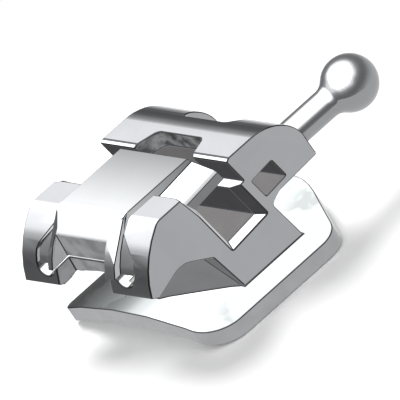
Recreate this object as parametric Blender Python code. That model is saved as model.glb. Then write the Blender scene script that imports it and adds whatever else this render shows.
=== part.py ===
# Self-ligating orthodontic bracket: twin body with a skewed outline, a sliding gate held by a wire
# spring, a ball hook and a bonding pad with a layer of retention studs.
# +X runs along the archwire slot, +Y towards the gum, +Z towards the lip. The pad lies level, and the
# slot is turned about X by its torque. Two frames are used: the pad frame, which is level, and the slot
# frame, which is turned by the torque. Both start on the slot's flared floor, halfway along the slot.

from math import atan2, ceil, cos, hypot, pi, radians, sin, sqrt, tan

import bmesh
import bpy
from mathutils import Matrix, Vector

MM = 0.001

# Prescription
TORQUE = radians(7.1)
ANGULATION = radians(20.66)

# Clearances
RUNNING_GAP = 0.025 * MM
BRAZE_GAP = 0.01 * MM

# Archwire slot, 0.022 by 0.028 inch, flared at both ends
SLOT_WIDTH = 0.559 * MM
SLOT_DEPTH = 0.711 * MM
SLOT_FLARE = 0.09 * MM
FLARE_LENGTH = 0.15 * MM
LEAD_IN_FOOT = 0.95 * MM

# Body
BODY_WIDTH = 2.8 * MM
WING_TOP = 1.355 * MM
STEM_GINGIVAL = 0.545 * MM
STEM_OCCLUSAL = 0.518 * MM
STEM_TOP = 0.105 * MM
STEM_LEAN = radians(9.9)
STEM_TAPER = 0.07 * MM
STEM_HEEL = -0.70 * MM
NECK_DEPTH = 0.05 * MM
NECK_HEIGHT = 0.12 * MM
PROW_SIDE = 0.50 * MM
PROW_INSET = 0.02 * MM
PROW_REACH = 1.09 * MM
PROW_HALF = 0.27 * MM
PROW_TOP = 0.45 * MM

# Occlusal tie wings
FACE_RADIUS = 2.0 * MM
FACE_TOP_Y = -1.03 * MM
FACE_SHOULDER = 0.18 * MM
OCCLUSAL_REACH = 1.742 * MM
TIP_HEIGHT = 0.297 * MM
TIP_THICKNESS = 0.135 * MM
OCCLUSAL_UNDERCUT = 0.43 * MM
UNDERCUT_PEAK = 1.094 * MM
OCCLUSAL_ROUND = 0.29 * MM

# Gingival tie wing
GINGIVAL_REACH = 1.452 * MM
CROWN_RADIUS = 0.67 * MM
GINGIVAL_UNDERCUT = 0.22 * MM
UNDERCUT_RISE = 0.05 * MM
UNDERCUT_RUN = 0.15 * MM
WING_TIP_ROUND = 0.06 * MM
UNDERCUT_ROUND = 0.12 * MM
RECESS_DEPTH = 0.17 * MM
RECESS_TOP = 1.262 * MM
RECESS_BEVEL = radians(30)
RECESS_RUN = 0.3 * MM
VALLEY_LEFT = 0.50 * MM
VALLEY_RIGHT = 0.58 * MM
VALLEY_FLOOR = 1.05 * MM
VALLEY_ROUND = 0.16 * MM
NOTCH_FRONT = 0.28 * MM
NOTCH_MOUTH = 1.30 * MM
NOTCH_BACK = 1.0 * MM
NOTCH_END = 0.65 * MM
NOTCH_DEPTH = 0.32 * MM
NOTCH_ROUND = 0.13 * MM

# Square auxiliary hole, 0.016 inch
HOLE_SIDE = 0.406 * MM
HOLE_Y = 0.73 * MM
HOLE_Z = 0.455 * MM

# Sliding gate
GATE_TRAVEL = 0.80 * MM
GATE_PROUD = 0.07 * MM
GATE_LEAD_GAP = 0.045 * MM
PANEL_WIDTH = 1.48 * MM
PANEL_SETBACK = 0.05 * MM
PANEL_STEP = 1.295 * MM
SHOULDER_WIDTH = 2.0 * MM
SHOULDER_HEIGHT = 1.06 * MM
RAIL_WIDTH = 2.1 * MM
RAIL_ROUND = 0.06 * MM
RAIL_SETBACK = 0.03 * MM
CORNER_START = -0.90 * MM
CORNER_PANEL = 0.74 * MM
CORNER_EDGE = 0.60 * MM
CORNER_RAIL = 0.93 * MM

# Recess in the end of the gate, which goes on through the lip below it
END_RECESS_TOP = 1.27 * MM
END_RECESS_WIDTH = 1.12 * MM
END_RECESS_SHIFT = 0.06 * MM
END_RECESS_HEAD = 0.015 * MM
END_RECESS_FOOT = 0.29 * MM
END_RECESS_FLARE = radians(4)
ARCH_WIDTH = 1.40 * MM
ARCH_FOOT = 0.43 * MM
ARCH_TOP = 0.53 * MM
ARCH_LENGTH = 0.55 * MM

# Wire spring
WIRE_RADIUS = 0.06 * MM
LEG_SPACING = 1.74 * MM
GROOVE_RADIUS = 0.20 * MM
GROOVE_FLOOR = 0.64 * MM
GROOVE_OVERLAP = 0.05 * MM
CROSS_OVERLAP = 0.04 * MM
CROSS_Y = 0.62 * MM
CROSS_ROOM = 0.10 * MM
WIRE_BEND = 0.10 * MM
LEG_SETBACK = 0.06 * MM
DETENT_RISE = 0.13 * MM
DETENT_WIDTH = 0.50 * MM
DETENT_RAMP = 0.375 * MM
DETENT_STEPS = 8

# Ball hook
HOOK_SIDE = 0.32 * MM
HOOK_HEIGHT = 0.66 * MM
HOOK_REACH = 2.58 * MM
BALL_RADIUS = 0.464 * MM
POST_RADIUS = 0.247 * MM
NECK_ROUND = 0.22 * MM
TANG_RADIUS = 0.14 * MM
TANG_LENGTH = 0.26 * MM
HOOK_SEAT = 0.15 * MM

# Bonding pad
PAD_RADIUS = 6.4 * MM
PAD_CROWN = 0.549 * MM
PAD_THICKNESS = 0.30 * MM
PAD_LEFT = 1.66 * MM
PAD_RIGHT = 1.82 * MM
PAD_OCCLUSAL_LEFT = 1.39 * MM
PAD_OCCLUSAL_RIGHT = 1.53 * MM
PAD_GINGIVAL = 1.59 * MM
PAD_PEAK_ROUND = 1.68 * MM
PAD_SLOPE = radians(29)
PAD_CORNER_LEFT = 0.12 * MM
PAD_CORNER_RIGHT = 0.47 * MM

# Retention studs, 80 to the inch
FOIL_THICKNESS = 0.05 * MM
STUD_HEIGHT = 0.08 * MM
STUD_PITCH = 0.3175 * MM
STUD_SIDE = 0.19 * MM
PAD_RIM = 0.13 * MM

# Fineness of round stretches
ARC_STEP = radians(7.5)
HOOK_SIDES = 40

# How far the helpers reach past what they cut
CLEAR = 1.0 * MM
CUT_PAST = 0.1 * MM

# Sizes that follow
HALF_BODY = BODY_WIDTH / 2
HALF_SLOT = SLOT_WIDTH / 2
GATE_FLOOR = SLOT_FLARE + SLOT_DEPTH
GATE_LEAD = HALF_SLOT + RECESS_DEPTH - GATE_LEAD_GAP
LEDGE = GATE_FLOOR - RUNNING_GAP
CHANNEL_FLOOR = GATE_FLOOR - RUNNING_GAP
NOTCH_ROOF = GROOVE_FLOOR + BRAZE_GAP + 2 * WIRE_RADIUS + DETENT_RISE + RUNNING_GAP
POCKET_ROOF = PAD_THICKNESS - FOIL_THICKNESS - STUD_HEIGHT - BRAZE_GAP
PAD_BEND_HALF = 2 * PAD_RIGHT


def in_slot_frame(a, y, z):
    """A point of the slot frame as a point of the part, in metres; a is measured before the skew."""
    x = a + tan(ANGULATION) * y
    return Vector((x, cos(TORQUE) * y - sin(TORQUE) * z, sin(TORQUE) * y + cos(TORQUE) * z))


def in_pad_frame(a, y, z):
    """A point of the level pad frame as a point of the part; a is measured before the skew."""
    slot_y = cos(TORQUE) * y + sin(TORQUE) * z
    return Vector((a + tan(ANGULATION) * slot_y, y, z))


def pad_point(y, z):
    """Slot-frame y and z as pad-frame y and z."""
    return cos(TORQUE) * y - sin(TORQUE) * z, sin(TORQUE) * y + cos(TORQUE) * z


def slot_point(y, z):
    """Pad-frame y and z as slot-frame y and z."""
    return cos(TORQUE) * y + sin(TORQUE) * z, cos(TORQUE) * z - sin(TORQUE) * y


def arc(centre, radius, start, end):
    """Points of an arc from one angle to another, both ends included."""
    steps = max(2, ceil(abs(end - start) / ARC_STEP))
    angles = [start + (end - start) * i / steps for i in range(steps + 1)]
    return [(centre[0] + radius * cos(t), centre[1] + radius * sin(t)) for t in angles]


def rounded(corners):
    """An outline from (u, v, radius) corners, each turned into an arc of its radius."""
    outline = []
    for i, (u, v, radius) in enumerate(corners):
        if radius == 0:
            outline.append((u, v))
            continue
        here = Vector((u, v))
        before = Vector(corners[i - 1][:2]) - here
        after = Vector(corners[(i + 1) % len(corners)][:2]) - here
        half = before.angle(after) / 2
        reach = min(radius / tan(half), 0.49 * before.length, 0.49 * after.length)
        radius = reach * tan(half)
        middle = (before.normalized() + after.normalized()).normalized()
        centre = here + middle * (radius / sin(half))
        first = here + before.normalized() * reach - centre
        last = here + after.normalized() * reach - centre
        start = atan2(first.y, first.x)
        turn = atan2(last.y, last.x) - start
        turn = (turn + pi) % (2 * pi) - pi
        outline += arc(centre, radius, start, start + turn)
    return outline


def arc_centre(p, q, radius):
    """Centre of the arc of this radius through p and q that bulges to the left of the way from q to p."""
    middle = ((p[0] + q[0]) / 2, (p[1] + q[1]) / 2)
    chord = hypot(q[0] - p[0], q[1] - p[1])
    away = sqrt(radius**2 - chord**2 / 4)
    return (
        middle[0] - away * (q[1] - p[1]) / chord,
        middle[1] + away * (q[0] - p[0]) / chord,
    )


def metal(name, colour, roughness):
    material = bpy.data.materials.new(name)
    material.use_nodes = True
    shader = material.node_tree.nodes["Principled BSDF"]
    shader.inputs["Base Color"].default_value = (*colour, 1)
    shader.inputs["Metallic"].default_value = 1
    shader.inputs["Roughness"].default_value = roughness
    material.diffuse_color = (*colour, 1)
    return material


def face_outwards(shape):
    """Turns an inside-out closed mesh the right way round."""
    if shape.calc_volume(signed=True) < 0:
        bmesh.ops.reverse_faces(shape, faces=shape.faces)


def solid(name, rings):
    """A closed body through rings of points, with a face on each end."""
    mesh = bpy.data.meshes.new(name)
    shape = bmesh.new()
    loops = [[shape.verts.new(point) for point in ring] for ring in rings]
    count = len(rings[0])
    for one, two in zip(loops, loops[1:]):
        for i in range(count):
            shape.faces.new((one[i], one[(i + 1) % count], two[(i + 1) % count], two[i]))
    shape.faces.new(loops[0][::-1])
    shape.faces.new(loops[-1])
    face_outwards(shape)
    shape.to_mesh(mesh)
    shape.free()
    mesh.shade_smooth()
    mesh.set_sharp_from_angle(angle=radians(20))
    body = bpy.data.objects.new(name, mesh)
    bpy.context.scene.collection.objects.link(body)
    return body


def along_x(name, outline, start, end, frame):
    """An outline in y and z, drawn out along the slot."""
    return solid(name, [[frame(a, y, z) for y, z in outline] for a in (start, end)])


def along_y(name, outline, start, end, frame):
    """An outline in a and z, drawn out towards the gum."""
    return solid(name, [[frame(a, y, z) for a, z in outline] for y in (start, end)])


def along_z(name, outline, start, end, frame):
    """An outline in a and y, drawn out towards the lip."""
    return solid(name, [[frame(a, y, z) for a, y in outline] for z in (start, end)])


def work(body, tool, operation):
    """Cuts a helper from a body, joins it on, or keeps what both share. Helpers aren't part of the bracket."""
    modifier = body.modifiers.new(tool.name, "BOOLEAN")
    modifier.operation = operation
    modifier.object = tool
    tool.hide_render = True
    tool.display_type = "WIRE"


def face_arc(offset):
    """The curved occlusal face of the wings, top to tip, moved outwards by an offset, in the pad frame."""
    top = (FACE_TOP_Y, WING_TOP)
    tip = (-OCCLUSAL_REACH, TIP_HEIGHT)
    centre = arc_centre(top, tip, FACE_RADIUS)
    end = atan2(tip[1] - centre[1], tip[0] - centre[0]) % (2 * pi)
    # A smaller arc leads from the flat front into the face.
    rise = WING_TOP - FACE_SHOULDER - centre[1]
    run = sqrt((FACE_RADIUS - FACE_SHOULDER) ** 2 - rise**2)
    turn = pi - atan2(rise, run)
    shoulder = (centre[0] - run, centre[1] + rise)
    first = arc(shoulder, FACE_SHOULDER + offset, pi / 2, turn)
    return [*first, *arc(centre, FACE_RADIUS + offset, turn, end)[1:]]


def stem_wall(z):
    """Pad-frame y of the stem's occlusal wall at the side faces; the wall leans out towards the lip."""
    return -STEM_OCCLUSAL - tan(STEM_LEAN) * (z - STEM_HEEL)


def prow():
    """A prow along the stem's occlusal wall, highest in the middle, which carries the lip."""
    side = HALF_BODY - PROW_INSET
    plan = [
        (-side, -PROW_SIDE / 2),
        (-side, -PROW_SIDE),
        (-PROW_HALF, -PROW_REACH),
        (PROW_HALF, -PROW_REACH),
        (side, -PROW_SIDE),
        (side, -PROW_SIDE / 2),
    ]
    return along_z("join_prow", plan, -PAD_CROWN - CLEAR / 2, PROW_TOP, in_pad_frame)


def body_outline():
    """Side view of stem and wings in the pad frame, without the slot."""
    face = face_arc(0)
    crown = (GINGIVAL_REACH - CROWN_RADIUS, WING_TOP - CROWN_RADIUS)
    foot = -PAD_CROWN - CLEAR
    lower = rounded([
        (-OCCLUSAL_REACH, TIP_HEIGHT, 0),
        (-OCCLUSAL_REACH + 0.8 * TIP_THICKNESS, TIP_HEIGHT - 0.6 * TIP_THICKNESS, 0),
        (-UNDERCUT_PEAK, OCCLUSAL_UNDERCUT, OCCLUSAL_ROUND),
        (stem_wall(STEM_TOP), STEM_TOP, 0),
        (stem_wall(foot), foot, 0),
        (STEM_GINGIVAL + STEM_TAPER, foot, 0),
        (STEM_GINGIVAL + STEM_TAPER, STEM_HEEL, 0),
        (STEM_GINGIVAL - NECK_DEPTH, NECK_HEIGHT, UNDERCUT_ROUND),
        (STEM_GINGIVAL + UNDERCUT_RUN, GINGIVAL_UNDERCUT, UNDERCUT_ROUND),
        (GINGIVAL_REACH, GINGIVAL_UNDERCUT + UNDERCUT_RISE, WING_TIP_ROUND),
        (GINGIVAL_REACH, crown[1], 0),
    ])
    return [*face, *lower[1:-1], *arc(crown, CROWN_RADIUS, 0, pi / 2)]


def slot_cutter():
    rings = []
    flared = HALF_BODY + CUT_PAST
    straight = HALF_BODY - FLARE_LENGTH
    for a in (-flared, -straight, straight, flared):
        widen = SLOT_FLARE * (abs(a) - straight) / FLARE_LENGTH
        half = HALF_SLOT + widen
        floor = SLOT_FLARE - widen
        mouth = max(half, HALF_SLOT + SLOT_FLARE)
        outline = [
            (-mouth, WING_TOP + CLEAR),
            (-mouth, WING_TOP),
            (-half, LEAD_IN_FOOT),
            (-half, floor),
            (half, floor),
            (half, WING_TOP + CLEAR),
        ]
        rings.append([in_slot_frame(a, y, z) for y, z in outline])
    return solid("cut_slot", rings)


def recess_cutter():
    """The step in the gingival wall that takes the gate's leading edge."""
    wall = HALF_SLOT + RECESS_DEPTH
    run = RECESS_RUN
    outline = [
        (0, LEDGE),
        (wall, LEDGE),
        (wall, RECESS_TOP),
        (wall + run, RECESS_TOP + run * tan(RECESS_BEVEL)),
        (wall + run, WING_TOP + CLEAR),
        (0, WING_TOP + CLEAR),
    ]
    reach = HALF_BODY + CUT_PAST
    return along_x("cut_gate_recess", outline, -reach, reach, in_slot_frame)


def gate_section(extra):
    """Half of the gate's section from the top down in the slot frame, widened on every side by extra."""
    panel = PANEL_WIDTH / 2 + extra
    shoulder = SHOULDER_WIDTH / 2 + extra
    rail = RAIL_WIDTH / 2 + extra
    right = [
        (panel, WING_TOP + CLEAR, 0),
        (panel, PANEL_STEP + extra, 0),
        (shoulder, SHOULDER_HEIGHT + extra, RAIL_ROUND),
        (rail, SHOULDER_HEIGHT - RAIL_ROUND, RAIL_ROUND),
        (rail, GATE_FLOOR - extra, RAIL_ROUND),
    ]
    left = [(-u, v, radius) for u, v, radius in reversed(right)]
    return rounded(right + left)


def groove_section(side):
    """A round-bottomed groove for one leg of the spring, open upwards into the gate channel."""
    middle = side * LEG_SPACING / 2
    centre = (middle, GROOVE_FLOOR + GROOVE_RADIUS)
    top = centre[1] + GROOVE_OVERLAP
    return [
        (middle - GROOVE_RADIUS, top),
        *arc(centre, GROOVE_RADIUS, pi, 2 * pi),
        (middle + GROOVE_RADIUS, top),
    ]


def valley_cutter():
    outline = rounded([
        (-VALLEY_LEFT, VALLEY_FLOOR, VALLEY_ROUND),
        (VALLEY_RIGHT, VALLEY_FLOOR, VALLEY_ROUND),
        (VALLEY_RIGHT, GINGIVAL_REACH + CLEAR, 0),
        (-VALLEY_LEFT, GINGIVAL_REACH + CLEAR, 0),
    ])
    return along_z("cut_valley", outline, -CUT_PAST, WING_TOP + CLEAR, in_pad_frame)


def notch_cutter():
    mouth = NOTCH_MOUTH / 2
    back = NOTCH_BACK / 2
    outline = rounded([
        (-mouth, NOTCH_FRONT, 0),
        (mouth, NOTCH_FRONT, 0),
        (back, NOTCH_END, NOTCH_ROUND),
        (-back, NOTCH_END, NOTCH_ROUND),
    ])
    return along_z("cut_notch", outline, WING_TOP - NOTCH_DEPTH, WING_TOP + CLEAR, in_pad_frame)


def hole_cutter():
    half = HOLE_SIDE / 2
    outline = [
        (HOLE_Y - half, HOLE_Z - half),
        (HOLE_Y + half, HOLE_Z - half),
        (HOLE_Y + half, HOLE_Z + half),
        (HOLE_Y - half, HOLE_Z + half),
    ]
    reach = HALF_BODY + CUT_PAST
    return along_x("cut_auxiliary_hole", outline, -reach, reach, in_slot_frame)


def face_y(z, offset):
    """Slot-frame y of the curved occlusal face at a slot-frame height."""
    points = [slot_point(*point) for point in face_arc(offset)]
    for (y0, z0), (y1, z1) in zip(points, points[1:]):
        if z1 <= z <= z0:
            return y0 + (y1 - y0) * (z - z0) / (z1 - z0)
    return points[-1][0]


def face_z(y):
    """Slot-frame height of the gate's panel at a slot-frame y."""
    points = [slot_point(*point) for point in face_arc(GATE_PROUD)]
    for (y0, z0), (y1, z1) in zip(points, points[1:]):
        if y1 <= y <= y0:
            return z0 + (z1 - z0) * (y - y0) / (y1 - y0)
    return points[0][1]


def end_recess_cutter(name):
    """The recess in the end of the gate and in the lip below it: a steep flat floor between two walls."""
    low = ARCH_FOOT - CUT_PAST
    head = face_y(END_RECESS_TOP, GATE_PROUD) + END_RECESS_HEAD
    foot = face_y(ARCH_FOOT, 0) + END_RECESS_FOOT
    rings = []
    for outward in (0, CLEAR):
        half = END_RECESS_WIDTH / 2 + outward * tan(END_RECESS_FLARE)
        left = -END_RECESS_SHIFT - half
        right = -END_RECESS_SHIFT + half
        rings.append([
            in_slot_frame(left, head - outward, END_RECESS_TOP),
            in_slot_frame(right, head - outward, END_RECESS_TOP),
            in_slot_frame(right, foot - outward, low),
            in_slot_frame(left, foot - outward, low),
        ])
    return solid(name, rings)


def arch_cutter():
    """The arch under the middle of the lip between the occlusal wings."""
    half = ARCH_WIDTH / 2
    rise = ARCH_TOP - ARCH_FOOT
    radius = (half**2 + rise**2) / (2 * rise)
    centre = (0, ARCH_TOP - radius)
    start = atan2(radius - rise, half)
    outline = [(half, 0), *arc(centre, radius, start, pi - start), (-half, 0)]
    tip = slot_point(-OCCLUSAL_REACH, TIP_HEIGHT)[0]
    return along_y("cut_arch", outline, tip - CLEAR, tip + ARCH_LENGTH, in_slot_frame)


def pad_surface(offset, half, down):
    """Outline in a and z from the pad's curved labial face, moved by an offset, down to a level."""
    centre = (0, -PAD_CROWN - PAD_RADIUS)
    lean = half / PAD_RADIUS
    top = arc(centre, PAD_RADIUS + offset, pi / 2 - lean, pi / 2 + lean)
    return [*top, (top[-1][0], down), (top[0][0], down)]


def hook_axis():
    """The ball's centre and the way from the wing to it."""
    side = HALF_BODY - HOOK_SIDE
    centre = in_pad_frame(side, HOOK_REACH, HOOK_HEIGHT)
    return centre, (centre - in_pad_frame(side, 0, HOOK_HEIGHT)).normalized()


def hook_seat():
    """Distance along the hook's axis from the ball's centre back to the post's seat in the wing."""
    return (HOOK_REACH - GINGIVAL_REACH) / hook_axis()[1].y + HOOK_SEAT


def hook_solid(name, extra):
    """Tang, post, neck and ball turned about the hook's axis; extra widens them for their socket."""
    post = POST_RADIUS + extra
    tang = TANG_RADIUS + extra
    seat = -hook_seat() - extra
    # The fillet at the neck touches the post and the ball.
    across = POST_RADIUS + NECK_ROUND
    back = sqrt((BALL_RADIUS + NECK_ROUND) ** 2 - across**2)
    meet = atan2(across, -back)
    profile = [(seat - TANG_LENGTH, tang), (seat, tang), (seat, post)]
    profile += arc((-back, across), NECK_ROUND - extra, -pi / 2, meet - pi)
    profile += arc((0, 0), BALL_RADIUS + extra, meet, radians(3))[1:]
    centre, axis = hook_axis()
    side = axis.cross(Vector((0, 0, 1)))
    up = Vector((0, 0, 1))
    rings = []
    for along, radius in profile:
        turn = [2 * pi * i / HOOK_SIDES for i in range(HOOK_SIDES)]
        rings.append([centre + axis * along + (side * cos(t) + up * sin(t)) * radius for t in turn])
    return solid(name, rings)


def make_body(material):
    reach = HALF_BODY
    body = along_x("bracket_body", body_outline(), -reach, reach, in_pad_frame)
    body.data.materials.append(material)

    work(body, prow(), "UNION")
    work(body, slot_cutter(), "DIFFERENCE")
    work(body, recess_cutter(), "DIFFERENCE")
    work(body, notch_cutter(), "DIFFERENCE")
    work(body, valley_cutter(), "DIFFERENCE")
    work(body, hole_cutter(), "DIFFERENCE")

    far = -OCCLUSAL_REACH - CLEAR
    near = -HALF_SLOT + CUT_PAST
    work(body, along_y("cut_channel", gate_section(RUNNING_GAP), far, near, in_slot_frame), "DIFFERENCE")
    back = -CROSS_Y + CROSS_ROOM
    for name, side in (("cut_left_groove", -1), ("cut_right_groove", 1)):
        work(body, along_y(name, groove_section(side), far, back, in_slot_frame), "DIFFERENCE")
    half = LEG_SPACING / 2
    cross = [
        (-half, GROOVE_FLOOR),
        (half, GROOVE_FLOOR),
        (half, CHANNEL_FLOOR + CROSS_OVERLAP),
        (-half, CHANNEL_FLOOR + CROSS_OVERLAP),
    ]
    work(body, along_y("cut_cross_groove", cross, back - 2 * CROSS_ROOM, back, in_slot_frame), "DIFFERENCE")
    work(body, end_recess_cutter("cut_lip_recess"), "DIFFERENCE")
    work(body, arch_cutter(), "DIFFERENCE")

    work(body, hook_solid("cut_hook_socket", BRAZE_GAP), "DIFFERENCE")

    below = -PAD_CROWN - 2 * CLEAR
    under = pad_surface(BRAZE_GAP, PAD_BEND_HALF, below)
    work(body, along_y("cut_pad_seat", under, -3 * CLEAR, 3 * CLEAR, in_pad_frame), "DIFFERENCE")
    return body


def corner_cutter(name, side):
    """Everything beyond a plane that bevels one end corner of the gate."""
    points = [
        Vector((CORNER_PANEL, CORNER_START, face_z(CORNER_START))),
        Vector((CORNER_EDGE, face_y(END_RECESS_TOP, GATE_PROUD), END_RECESS_TOP)),
        Vector((RAIL_WIDTH / 2, face_y(CORNER_RAIL, 0), CORNER_RAIL)),
    ]
    one = (points[1] - points[0]).normalized()
    normal = one.cross(points[2] - points[0]).normalized()
    if normal.z < 0:
        normal = -normal
    two = normal.cross(one)
    middle = sum(points, Vector()) / 3
    rings = []
    for rise in (0, CLEAR):
        quad = [(-CLEAR, -CLEAR), (CLEAR, -CLEAR), (CLEAR, CLEAR), (-CLEAR, CLEAR)]
        ring = [middle + normal * rise + one * u + two * v for u, v in quad]
        rings.append([in_slot_frame(side * point.x, point.y, point.z) for point in ring])
    return solid(name, rings)


def make_gate(material):
    """The gate is its section drawn along the channel, kept inside its side view."""
    lead_y, lead_z = pad_point(GATE_LEAD, SHOULDER_HEIGHT)
    low = TIP_HEIGHT
    top = WING_TOP + GATE_PROUD
    panel_y = pad_point(GATE_LEAD - PANEL_SETBACK, top)[0]
    side_view = [
        pad_point(GATE_LEAD, low),
        (lead_y, lead_z),
        (panel_y, top),
        *face_arc(GATE_PROUD),
        (-OCCLUSAL_REACH, low - CUT_PAST),
    ]
    reach = RAIL_WIDTH / 2 + CUT_PAST
    far = -OCCLUSAL_REACH - CLEAR
    gate = along_y("sliding_gate", gate_section(0), far, GATE_LEAD, in_slot_frame)
    gate.data.materials.append(material)
    work(gate, along_x("keep_side_view", side_view, -reach, reach, in_pad_frame), "INTERSECT")
    for name, side in (("cut_left_corner", -1), ("cut_right_corner", 1)):
        work(gate, corner_cutter(name, side), "DIFFERENCE")
    work(gate, end_recess_cutter("cut_gate_recess_end"), "DIFFERENCE")

    # The rails end just inside the curved face of the wings.
    face = face_arc(-RAIL_SETBACK)
    outside = [*face, (-OCCLUSAL_REACH - CLEAR, low), (-OCCLUSAL_REACH - CLEAR, WING_TOP + CLEAR)]
    inner = PANEL_WIDTH / 2
    for name, start, end in (("cut_left_rail", -reach, -inner), ("cut_right_rail", inner, reach)):
        work(gate, along_x(name, outside, start, end, in_pad_frame), "DIFFERENCE")

    # Two notches in the underside catch the spring when the gate is shut and when it is open.
    half = CROSS_ROOM
    for name, middle in (("cut_shut_notch", -CROSS_Y), ("cut_open_notch", -CROSS_Y + GATE_TRAVEL)):
        notch = [
            (middle - half, GATE_FLOOR - CUT_PAST),
            (middle + half, GATE_FLOOR - CUT_PAST),
            (middle + half / 2, NOTCH_ROOF),
            (middle - half / 2, NOTCH_ROOF),
        ]
        wide = DETENT_WIDTH / 2 + CROSS_ROOM
        work(gate, along_x(name, notch, -wide, wide, in_slot_frame), "DIFFERENCE")

    middle = in_slot_frame(0, (GATE_LEAD - OCCLUSAL_REACH) / 2, GATE_FLOOR)
    gate.data.transform(Matrix.Translation(-middle))
    gate.location = middle
    return gate


def make_spring(material):
    """One bent wire: a cross piece under the gate that rises in the middle, and two legs in the grooves."""
    low = GROOVE_FLOOR + BRAZE_GAP + WIRE_RADIUS
    half = LEG_SPACING / 2
    tip = face_y(low, 0) + LEG_SETBACK
    bend = arc((half - WIRE_BEND, -CROSS_Y - WIRE_BEND), WIRE_BEND, 0, pi / 2)
    quarter = [(half, tip, low), *[(a, y, low) for a, y in bend]]
    for i in range(DETENT_STEPS + 1):
        share = i / DETENT_STEPS
        rise = DETENT_RISE * (1 - cos(pi * share)) / 2
        quarter.append((DETENT_RAMP * (1 - share), -CROSS_Y, low + rise))
    right = [in_slot_frame(*point) for point in quarter]
    left = [in_slot_frame(-a, y, z) for a, y, z in reversed(quarter[:-1])]
    curve = bpy.data.curves.new("gate_spring", "CURVE")
    curve.dimensions = "3D"
    curve.bevel_depth = WIRE_RADIUS
    curve.bevel_resolution = 3
    curve.use_fill_caps = True
    route = right + left
    line = curve.splines.new("POLY")
    line.points.add(len(route) - 1)
    for point, place in zip(line.points, route):
        point.co = (*place, 1)
    spring = bpy.data.objects.new("gate_spring", curve)
    bpy.context.scene.collection.objects.link(spring)
    curve.materials.append(material)
    return spring


def make_hook(material):
    hook = hook_solid("ball_hook", 0)
    hook.data.materials.append(material)
    return hook


def pad_plan(margin):
    """Plan outline of the pad in a and y, drawn in by a margin; its gingival edge comes to a round peak."""
    left = margin - PAD_LEFT
    right = PAD_RIGHT - margin
    peak = PAD_GINGIVAL + PAD_PEAK_ROUND * (1 / cos(PAD_SLOPE) - 1) - margin / cos(PAD_SLOPE)
    corner = PAD_CORNER_RIGHT - margin
    return rounded([
        (left, margin - PAD_OCCLUSAL_LEFT, PAD_CORNER_LEFT),
        (right, margin - PAD_OCCLUSAL_RIGHT, corner),
        (right, peak - right * tan(PAD_SLOPE), corner),
        (0, peak, PAD_PEAK_ROUND - margin),
        (left, peak + left * tan(PAD_SLOPE), corner),
    ])


def pad_layer(name, top, bottom):
    """A layer bent like the pad, between two depths under its labial face, well past its edges."""
    outer = pad_surface(-top, PAD_BEND_HALF, 0)[:-2]
    inner = pad_surface(-bottom, PAD_BEND_HALF, 0)[:-2]
    return along_y(name, outer + inner[::-1], -3 * CLEAR, 3 * CLEAR, in_pad_frame)


def make_pad(material):
    """The pad, with a rim round the pocket that holds the studs."""
    pad = pad_layer("bonding_pad", 0, PAD_THICKNESS)
    pad.data.materials.append(material)
    deep = -PAD_CROWN - 2 * CLEAR
    work(pad, along_z("keep_pad_plan", pad_plan(0), deep, 0, in_pad_frame), "INTERSECT")
    pocket = pad_layer("cut_pocket", POCKET_ROOF, PAD_THICKNESS + CLEAR / 2)
    work(pocket, along_z("keep_pocket_plan", pad_plan(PAD_RIM), deep, 0, in_pad_frame), "INTERSECT")
    work(pad, pocket, "DIFFERENCE")
    return pad


def make_studs(material):
    """A thin foil with a field of square studs, bent with the pad; grooves run between the studs."""
    across = ceil(PAD_RIGHT / STUD_PITCH)
    along = ceil(PAD_GINGIVAL / STUD_PITCH)
    edges = []
    for count in (across, along):
        lines = [-(count + 0.5) * STUD_PITCH]
        for i in range(-count, count + 1):
            lines += [i * STUD_PITCH - STUD_SIDE / 2, i * STUD_PITCH + STUD_SIDE / 2]
        edges.append([*lines, (count + 0.5) * STUD_PITCH])
    bend = PAD_RADIUS - POCKET_ROOF - BRAZE_GAP
    depths = (0, FOIL_THICKNESS, FOIL_THICKNESS + STUD_HEIGHT)
    shape = bmesh.new()
    corners = {}

    def corner(i, j, layer):
        if (i, j, layer) not in corners:
            a = edges[0][i]
            fall = bend - sqrt(bend**2 - a**2)
            level = -PAD_CROWN - POCKET_ROOF - BRAZE_GAP - fall - depths[layer]
            corners[i, j, layer] = shape.verts.new(in_pad_frame(a, edges[1][j], level))
        return corners[i, j, layer]

    def layer_of(i, j):
        if not (0 <= i < len(edges[0]) - 1 and 0 <= j < len(edges[1]) - 1):
            return 0
        return 2 if i % 2 and j % 2 else 1

    for i in range(len(edges[0]) - 1):
        for j in range(len(edges[1]) - 1):
            here = layer_of(i, j)
            for layer in (0, here):
                square = ((i, j), (i + 1, j), (i + 1, j + 1), (i, j + 1))
                shape.faces.new([corner(u, v, layer) for u, v in square])
            sides = (
                (i - 1, j, (i, j), (i, j + 1)),
                (i + 1, j, (i + 1, j), (i + 1, j + 1)),
                (i, j - 1, (i, j), (i + 1, j)),
                (i, j + 1, (i, j + 1), (i + 1, j + 1)),
            )
            for u, v, one, two in sides:
                other = layer_of(u, v)
                if other < here:
                    wall = [corner(*one, here), corner(*two, here), corner(*two, other), corner(*one, other)]
                    shape.faces.new(wall)
    bmesh.ops.recalc_face_normals(shape, faces=shape.faces)
    face_outwards(shape)
    mesh = bpy.data.meshes.new("retention_studs")
    shape.to_mesh(mesh)
    shape.free()
    studs = bpy.data.objects.new("retention_studs", mesh)
    bpy.context.scene.collection.objects.link(studs)
    mesh.materials.append(material)
    deep = -PAD_CROWN - 2 * CLEAR
    plan = pad_plan(PAD_RIM + BRAZE_GAP)
    work(studs, along_z("keep_foil_plan", plan, deep, 0, in_pad_frame), "INTERSECT")
    return studs


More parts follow.
